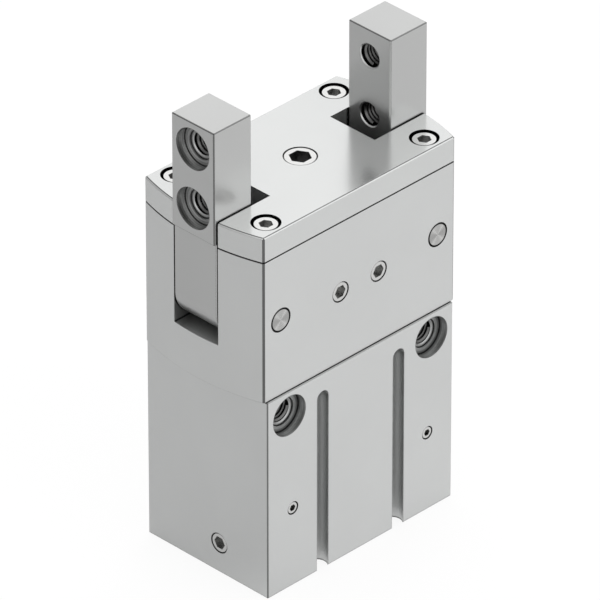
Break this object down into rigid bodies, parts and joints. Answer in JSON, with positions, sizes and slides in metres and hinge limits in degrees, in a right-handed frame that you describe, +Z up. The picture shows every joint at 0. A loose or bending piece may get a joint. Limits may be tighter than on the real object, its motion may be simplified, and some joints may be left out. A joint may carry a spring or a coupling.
{
  "type": "pneumatic radial gripper",
  "caption": "Compact pneumatic gripper whose jaws swing outwards from upright to flat, driven by an internal piston.",
  "frame": {"origin": "middle of the body's bottom face, which is the bottom centre of the whole part", "axes": "+Z up towards the fingertips, X across the two jaws with the plugged end at -X, -Y out of the face with the sensor slots"},
  "size_m": [0.0588, 0.0336, 0.1044],
  "materials": {
    "body_anodised": "satin natural anodised",
    "housing_anodised": "satin natural anodised",
    "cover_anodised": "satin natural anodised",
    "jaw_steel": "ground and satin",
    "pin_steel": "turned end faces, ground shank",
    "bush_bronze": "sintered bronze, oiled",
    "screw_steel": "stainless, rolled",
    "plug_steel": "stainless, turned",
    "plug_brass": "turned",
    "piston_aluminium": "turned",
    "rod_chrome": "hard chromed and polished",
    "crosshead_steel": "ground",
    "ring_steel": "phosphated spring steel",
    "seal_rubber": "matte nitrile rubber",
    "buffer_rubber": "matte polyurethane",
    "magnet_plastic": "plastic-bonded ferrite"
  },
  "bodies": {
    "housing": {"centre_plug": "plug_steel", "channel_plugs": "plug_brass", "cover_screws": "screw_steel", "cylinder_body": "body_anodised", "end_cap": "piston_aluminium", "end_cap_seal": "seal_rubber", "end_port_plug": "plug_steel", "grease_port_plugs": "plug_steel", "housing_dowels": "pin_steel", "housing_screws": "screw_steel", "jaw_housing": "housing_anodised", "left_pivot_pin": "pin_steel", "lower_buffer": "buffer_rubber", "retaining_ring": "ring_steel", "right_pivot_pin": "pin_steel", "rod_bush": "bush_bronze", "rod_seal": "seal_rubber", "top_cover": "cover_anodised"},
    "piston": {"piston": "piston_aluminium", "piston_seals": "seal_rubber", "magnet_ring": "magnet_plastic", "upper_buffer": "buffer_rubber", "piston_rod": "rod_chrome", "piston_screw": "screw_steel", "crosshead": "crosshead_steel", "crosshead_screw": "screw_steel"},
    "left_jaw": {"left_jaw": "jaw_steel", "left_jaw_bush": "bush_bronze", "left_drive_pin": "pin_steel"},
    "right_jaw": {"right_jaw": "jaw_steel", "right_jaw_bush": "bush_bronze", "right_drive_pin": "pin_steel"}
  },
  "joints": [
    {"name": "piston_stroke", "type": "slide", "parent": "housing", "child": "piston", "axis": [0, 0, 1], "range_m": [0, 0.015]},
    {"name": "left_jaw_swing", "type": "hinge", "parent": "housing", "child": "left_jaw", "pos_m": [-0.0218, 0, 0.06335], "axis": [0, -1, 0], "range_deg": [0, 90]},
    {"name": "right_jaw_swing", "type": "hinge", "parent": "housing", "child": "right_jaw", "pos_m": [0.0218, 0, 0.06335], "axis": [0, 1, 0], "range_deg": [0, 90]}
  ],
  "couplings": [
    {"joint": "left_jaw_swing", "follows": "piston_stroke", "rad_per_m": 104.72},
    {"joint": "right_jaw_swing", "follows": "piston_stroke", "rad_per_m": 104.72}
  ]
}
